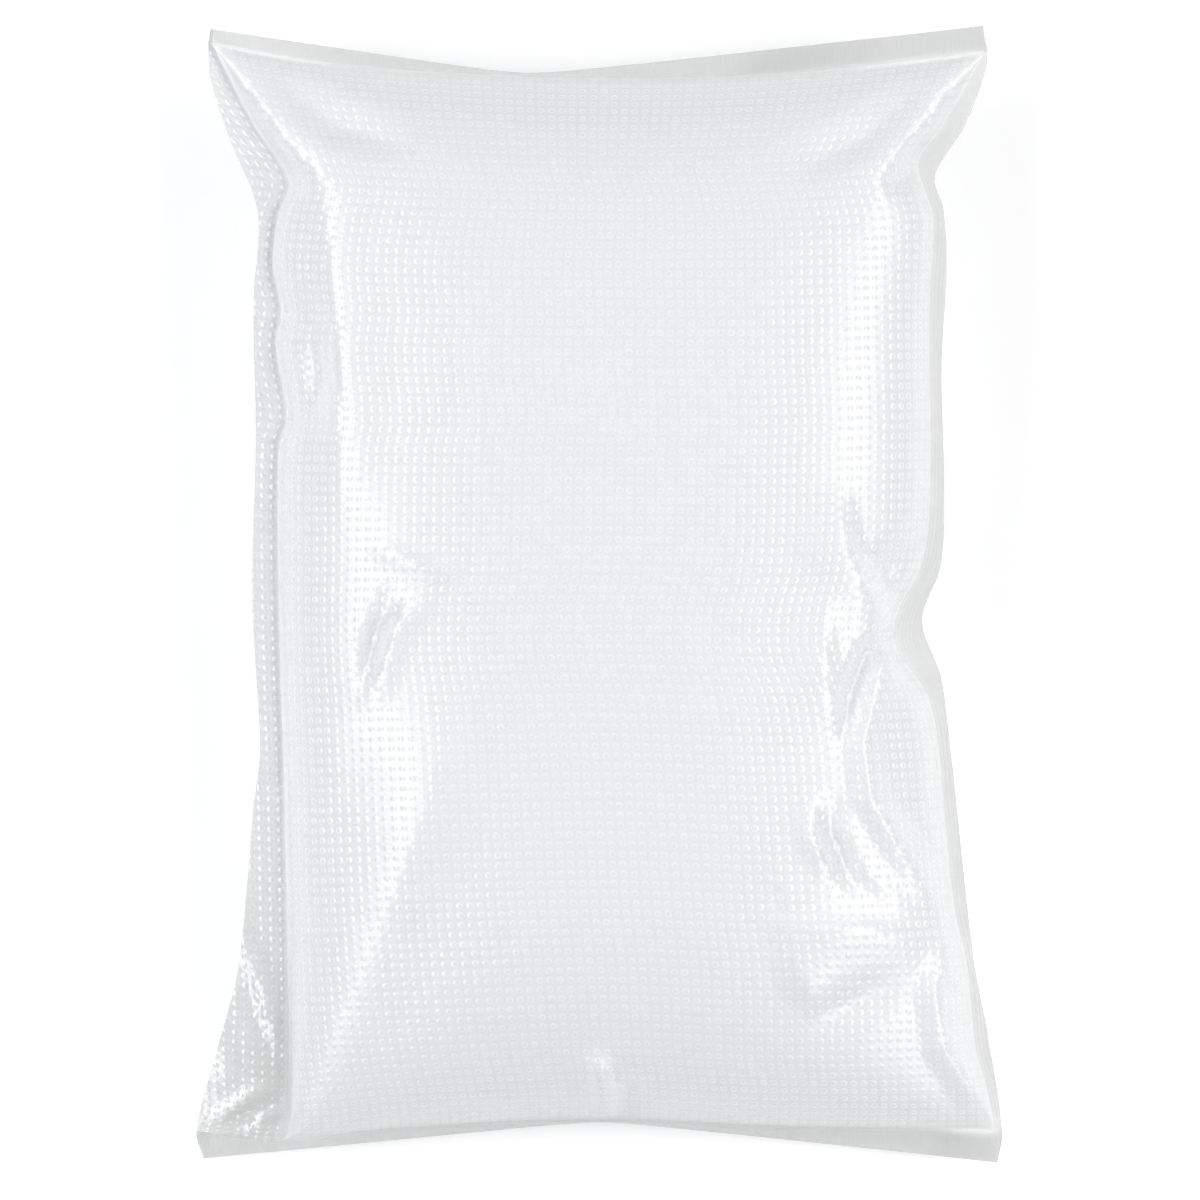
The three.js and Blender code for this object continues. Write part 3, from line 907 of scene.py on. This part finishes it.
@dataclass
class FilmPouch:
    """The pouch itself: one skin of film round the belly, the side seams and the end seals.

    Attributes:
        form: the pouch's shape.
        pitch: between the film's bosses, in millimetres.
        bosses_across: bosses between the two roots.
        bosses_along: bosses between the two folds.
        cells_a_boss: mesh cells to each boss, on the shown side.
        flange_cells: mesh cells across a side seam or an end seal.
        measuring_cells: cells that the lengths of film are measured with.
        map_span: the millimetres of film that the bake map spans.
        map_margin: the room left beside the folds on that map.
        map_margin_across: the room left beside the roots.
        wall_bosses: how much of its height a boss keeps at a root or fold, stretched flat.
        wall_reach: how far the stretched film runs in from there.
        seam_bosses: how much of it a boss keeps in the left and the right side seam.
        seam_haze: how grey the pair of films is in the side seams, 1 being as in the seals.
        foot_haze: the same at the foot of the left one.
        foot_reach: the share of the pouch's length over which that fades.
        line_width: of the painted shade beside the left-hand root, for the shade in its fold.
        line_fade: how far its outer edge takes to fade.
    """

    form: PouchForm
    pitch: float = 2.37
    bosses_across: int = 72
    bosses_along: int = 116
    cells_a_boss: int = 3
    flange_cells: int = 9
    measuring_cells: int = 720
    map_span: float = 440.0
    map_margin: float = 12.0
    map_margin_across: float = 25.0
    wall_bosses: float = 0.0
    wall_reach: float = 7.0
    seam_bosses: tuple[float, float] = (0.95, 0.12)
    seam_haze: float = 0.62
    foot_haze: float = 1.3
    foot_reach: float = 0.35
    line_width: float = 2.4
    line_fade: float = 1.0

    def lattice(self) -> Lattice:
        """Lays the mesh out evenly over the film, boss by boss.

        Returns:
            The mesh's lattice, from the lower left corner of the plan.
        """
        fine = crowded_steps(self.measuring_cells, 1.0)
        zero = np.zeros_like(fine)
        spine = Lattice(zero + 0.5, zero, fine, zero)
        _, spine_y = self.form.plan(spine)
        steps = np.hypot(np.diff(spine_y), np.diff(self.form.belly(spine)[0]))
        rows = even_shares(fine, steps, self.bosses_along * self.cells_a_boss)
        belly = np.array([self._row_shares(fine, along) for along in rows])
        flange = 1 - np.arange(self.flange_cells) / self.flange_cells
        n = self.flange_cells
        belly = np.pad(belly, ((n, n), (0, 0)), mode="edge")
        belly = np.pad(belly, ((0, 0), (n, n)), mode="edge")
        along = np.pad(rows, n, mode="edge")[:, None] + np.zeros_like(belly)
        past = np.concatenate([-flange, np.zeros(len(rows)), flange[::-1]])
        seam = np.concatenate([flange, np.zeros(belly.shape[1] - 2 * n), flange[::-1]])
        flat = np.zeros_like(belly)
        return Lattice(belly, seam[None, :] + flat, along, past[:, None] + flat)

    def _row_shares(self, fine: Array, along: float) -> Array:
        """Spaces one row's columns evenly over the film.

        Args:
            fine: the shares that the film is measured at.
            along: the row's share of the way from the lower fold to the upper one.

        Returns:
            The columns' shares of the way from the left root to the right one.
        """
        zero = np.zeros_like(fine)
        row = Lattice(fine, zero, zero + along, zero)
        x, _ = self.form.plan(row)
        steps = np.hypot(np.diff(x), np.diff(self.form.belly(row)[0]))
        return even_shares(fine, steps, self.bosses_across * self.cells_a_boss)

    def faces(self, at: Lattice) -> tuple[Array, Array]:
        """Both faces of the pouch.

        Args:
            at: where to work them out.

        Returns:
            The upper and the lower face's points, in millimetres.
        """
        form = self.form
        x, y = form.plan(at)
        level = form.level(at) - form.seam_droop(at, x, y)
        shown, hidden = form.belly(at)
        shown = np.maximum(0, form.creased(shown, x, y))
        half = form.pair_thickness / 2
        over = np.stack([x, y, level + half + shown], axis=-1)
        under = np.stack([x, y, np.maximum(0, level - half - hidden)], axis=-1)
        for upper, sign in ((True, 1), (False, -1)):
            seal = at.past * sign > 0
            lean = form.seal_lean(x, y, upper)
            reach = np.abs(at.past) * form.seal_width
            mid_y = y + sign * np.cos(lean) * reach
            mid_z = level - np.sin(lean) * reach
            off_y = sign * np.sin(lean) * half
            off_z = np.cos(lean) * half
            over[seal] = np.stack([x, mid_y + off_y, mid_z + off_z], axis=-1)[seal]
            under[seal] = np.stack([x, mid_y - off_y, mid_z - off_z], axis=-1)[seal]
        return over, under

    def film_places(self, at: Lattice, points: Array) -> tuple[Array, Array]:
        """Each point's place on the flat film, in millimetres from the sheet's corner.

        Args:
            at: the lattice.
            points: the upper face's points, for the true width of seams and seals.

        Returns:
            The places across and along the film.
        """
        n, cell = self.flange_cells, self.pitch / self.cells_a_boss
        rows, columns = at.belly.shape
        u = self.belly_u()[0] + (np.arange(columns) - n)[None, :] * cell + np.zeros((rows, 1))
        steps = np.linalg.norm(np.diff(points, axis=1), axis=2)
        left = np.cumsum(steps[:, :n][:, ::-1], axis=1)[:, ::-1]
        right = np.cumsum(steps[:, columns - 1 - n:], axis=1)
        u[:, :n] = u[:, n:n + 1] - left
        u[:, columns - n:] = u[:, columns - 1 - n:columns - n] + right
        v = self.belly_v()[0] + (np.arange(rows) - n)[:, None] * cell + np.zeros((1, columns))
        v = np.where(at.past < 0, self.belly_v()[0] + at.past * self.form.seal_width, v)
        v = np.where(at.past > 0, self.belly_v()[1] + at.past * self.form.seal_width, v)
        return u, v

    def belly_u(self) -> tuple[float, float]:
        """Where the two roots lie across the flat film."""
        start = math.ceil(self.map_margin_across / self.pitch) * self.pitch
        return start, start + self.bosses_across * self.pitch

    def belly_v(self) -> tuple[float, float]:
        """Where the two folds lie along the flat film."""
        start = math.ceil(self.map_margin / self.pitch) * self.pitch
        return start, start + self.bosses_along * self.pitch

    def build(self) -> bpy.types.Object:
        """Makes the film and dresses it.

        Returns:
            The pouch's skin, as one closed mesh.
        """
        at = self.lattice()
        over, under = self.faces(at)
        u, v = self.film_places(at, over)
        flat = np.stack([u, v], axis=-1) / self.map_span
        marks = self.marks(at, over, u, v)
        step = self.cells_a_boss
        skin = SkinMesh("pouch_film")
        upper = skin.add_sheet(over, flat, True, marks)
        for k in (self.flange_cells, -1 - self.flange_cells):
            skin.folds.extend([upper[:, k], upper[k, :]])
        back_flat = flat[::step, ::step] + BACK_ON_MAP
        back_marks = {name: values[::step, ::step] for name, values in marks.items()}
        lower = skin.add_sheet(under[::step, ::step], back_flat, False, back_marks)
        skin.close_rim(upper, lower)
        obj = skin.build()
        obj.data.materials.append(EmbossedFilm(self.pitch, self.map_span).material())
        return obj

    def marks(self, at: Lattice, over: Array, u: Array, v: Array) -> dict[str, Array]:
        """What each point tells the finish.

        Args:
            at: the lattice.
            over: the upper face's points; not used.
            u: the points' places across the flat film, in millimetres.
            v: their places along it.

        Returns:
            The film marks by name.
        """
        (left, right), (low, high) = self.belly_u(), self.belly_v()
        inward = np.minimum(np.minimum(u - left, right - u), np.minimum(v - low, high - v))
        stretched = blend(self.wall_bosses, 1, np.clip(inward / self.wall_reach, 0, 1))
        seamed, sealed = at.seam > 0, at.past != 0
        pressed = np.where(at.belly < 0.5, *self.seam_bosses)
        # Painted shade: a band just outside the left-hand root, fading outwards.
        line = np.clip((self.line_width - (left - u)) / self.line_fade, 0, 1)
        to_foot = np.clip(1 - at.along / self.foot_reach, 0, 1) * (at.belly < 0.5)
        haze = blend(self.seam_haze, self.foot_haze, to_foot)
        values = {
            FilmMark.PAIRED: np.where(sealed, 1.0, np.where(seamed, haze, 0.0)),
            FilmMark.EMBOSS: np.where(sealed, 0.0, np.where(seamed, pressed, stretched)),
            FilmMark.ROOT_LINE: np.where(seamed & (at.belly < 0.5), line, 0.0),
        }
        return {mark.value: array for mark, array in values.items()}


@dataclass
class StarchFill:
    """The starch: one closed body that the film lies on, short of every seam and seal.

    Attributes:
        form: the pouch's shape; all sizes are in millimetres.
        inset: how far it ends inside the roots and folds.
        clearance: how far it lies under the film.
        half_edge: half its thickness along its edge.
        cells_across: mesh cells from root to root.
        cells_along: mesh cells from fold to fold.
        crowding: how those across and those along crowd to the edges.
        map_size: of one side on the bake map, as shares of it.
        map_place: of the shown side's corner on that map.
    """

    form: PouchForm
    inset: float = 0.7
    clearance: float = 0.35
    half_edge: float = 0.05
    cells_across: int = 120
    cells_along: int = 190
    crowding: tuple[float, float] = (0.7, 0.6)
    map_size: tuple[float, float] = (0.46, 0.9)
    map_place: tuple[float, float] = (0.02, 0.05)

    def build(self) -> bpy.types.Object:
        """Makes the powder's body and dresses it.

        Returns:
            The starch, as one closed mesh.
        """
        across = crowded_steps(self.cells_across, self.crowding[0])
        along = crowded_steps(self.cells_along, self.crowding[1])
        belly, rows = np.meshgrid(across, along)
        at = Lattice(belly, belly * 0, rows, belly * 0)
        x, y = self.form.plan(at, self.inset)
        shown, hidden = self.form.belly(at)
        shown = np.maximum(0, self.form.creased(shown, x, y) - self.clearance)
        hidden = np.maximum(0, hidden - self.clearance)
        level = self.form.level(at)
        lowest = np.maximum(self.clearance, level - self.half_edge - hidden)
        over = np.stack([x, y, level + self.half_edge + shown], axis=-1)
        under = np.stack([x, y, lowest], axis=-1)
        flat = np.stack([belly, rows], axis=-1) * self.map_size + self.map_place
        skin = SkinMesh("starch")
        upper = skin.add_sheet(over, flat, True)
        lower = skin.add_sheet(under, flat + BACK_ON_MAP, False)
        skin.close_rim(upper, lower)
        obj = skin.build()
        obj.data.materials.append(StarchPowder().material())
        return obj


# ---- The studio ---------------------------------------------------------------------------


@dataclass(frozen=True)
class Softbox:
    """A lamp behind a diffuser that is brightest in its middle.

    Attributes:
        name: what it is called.
        place: where it hangs, in metres; it faces the pouch.
        size: its level side and its upright side, in metres.
        glare: the brightness of its middle.
        colour: of its light.
        softness: how much it dims from its middle to its edges.
    """

    name: str
    place: tuple[float, float, float]
    size: tuple[float, float]
    glare: float
    colour: Colour = (1.0, 1.0, 1.0)
    softness: float = 0.8

    def build(self, aim: tuple[float, float, float]) -> None:
        """Hangs the lamp.

        Args:
            aim: the point that it faces, in metres.
        """
        lamp = bpy.data.lights.new(self.name, "AREA")
        lamp.shape = "RECTANGLE"
        lamp.size, lamp.size_y = self.size
        lamp.energy = math.pi * self.size[0] * self.size[1] * LAMP_RADIANCE
        lamp.color = self.colour
        lamp.use_nodes = True
        shade = Shade(lamp)
        spot = shade.add("ShaderNodeNewGeometry", None, None, "Parametric")
        u, v, _ = shade.split(spot)
        strength = (u.hump() * v.hump()) ** self.softness * (self.glare / LAMP_RADIANCE)
        shade.finish(shade.add("ShaderNodeEmission", None, {"Strength": strength}))
        obj = bpy.data.objects.new(self.name, lamp)
        obj.location = self.place
        toward = Vector(aim) - Vector(self.place)
        obj.rotation_euler = toward.to_track_quat("-Z", "Y").to_euler()
        bpy.context.scene.collection.objects.link(obj)


@dataclass
class SoftStudio:
    """The table, the lights and the camera that looks straight down on the pouch.

    Attributes:
        picture_span: what the picture's side spans at the height of the aim, in metres.
        aim: the point that camera and lamps face.
        distance: of the camera over the table.
        sensor: the camera's, in millimetres.
        table_half: half the table's side.
        surround: the light of the whole room.
        overhead: how much brighter it is overhead.
        overhead_axis: where its brightest part lies, along Y and Z.
        overhead_reach: how near to that axis it starts, and is at its full strength.
        softboxes: the lamps.
    """

    picture_span: float = 0.2818
    aim: tuple[float, float, float] = (0.0001, -0.0009, 0.025)
    distance: float = 1.6
    sensor: float = 36.0
    table_half: float = 3.0
    surround: float = 0.24
    overhead: float = 0.69
    overhead_axis: tuple[float, float] = (0.5, 0.87)
    overhead_reach: tuple[float, float] = (0.4, 1.0)
    softboxes: tuple[Softbox, ...] = (
        Softbox("left_softbox", (-0.68, -0.04, 0.63), (2.1, 0.30), 6.3, (0.95, 0.97, 1.0)),
        Softbox("right_softbox", (0.71, -0.10, 0.59), (2.1, 0.33), 5.7),
    )

    def build(self) -> None:
        """Sets the table, the lights and the camera."""
        self._table()
        self._camera()
        for softbox in self.softboxes:
            softbox.build(self.aim)
        self._surround()
        bpy.context.scene.view_settings.view_transform = "Standard"

    def _surround(self) -> None:
        """Lights the whole room softly, most from overhead and beyond the pouch's top."""
        world = bpy.data.worlds.new("soft_surround")
        world.use_nodes = True
        shade = Shade(world)
        toward = shade.add("ShaderNodeTexCoord", None, None, "Generated")
        _, y, z = shade.split(toward)
        along_y, along_z = self.overhead_axis
        near_axis = (y * along_y + z * along_z).ramp(*self.overhead_reach)
        strength = near_axis * self.overhead + self.surround
        shade.finish(shade.add("ShaderNodeBackground", None, {"Strength": strength}))
        bpy.context.scene.world = world

    def _table(self) -> None:
        """Lays the table at the surface the pouch rests on."""
        half = self.table_half
        mesh = bpy.data.meshes.new("table")
        corners = [(-half, -half, 0), (half, -half, 0), (half, half, 0), (-half, half, 0)]
        mesh.from_pydata(corners, [], [(0, 1, 2, 3)])
        mesh.materials.append(LitTable().material())
        table = bpy.data.objects.new("table", mesh)
        bpy.context.scene.collection.objects.link(table)

    def _camera(self) -> None:
        """Adds the camera, straight over the pouch."""
        camera = bpy.data.cameras.new("camera")
        camera.sensor_width = self.sensor
        camera.lens = self.sensor * (self.distance - self.aim[2]) / self.picture_span
        obj = bpy.data.objects.new("camera", camera)
        obj.location = (self.aim[0], self.aim[1], self.distance)
        bpy.context.scene.collection.objects.link(obj)
        bpy.context.scene.camera = obj


# ---- All of it ----------------------------------------------------------------------------


def main() -> None:
    """Builds the pouch, its starch and the studio, in that order."""
    logging.basicConfig(level=logging.INFO, format="%(message)s")
    form = PouchForm()
    film = FilmPouch(form).build()
    starch = StarchFill(form).build()
    for piece, slot in ((film, "film"), (starch, "starch")):
        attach(piece, "root")
        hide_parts(CAD_NODE)
        counts = len(piece.data.vertices), len(piece.data.polygons)
        log.info("%s: %d points, %d faces", piece.name, *counts)
    SoftStudio().build()
    log.info("studio: table, lights and camera")


if __name__ == "__main__":
    main()
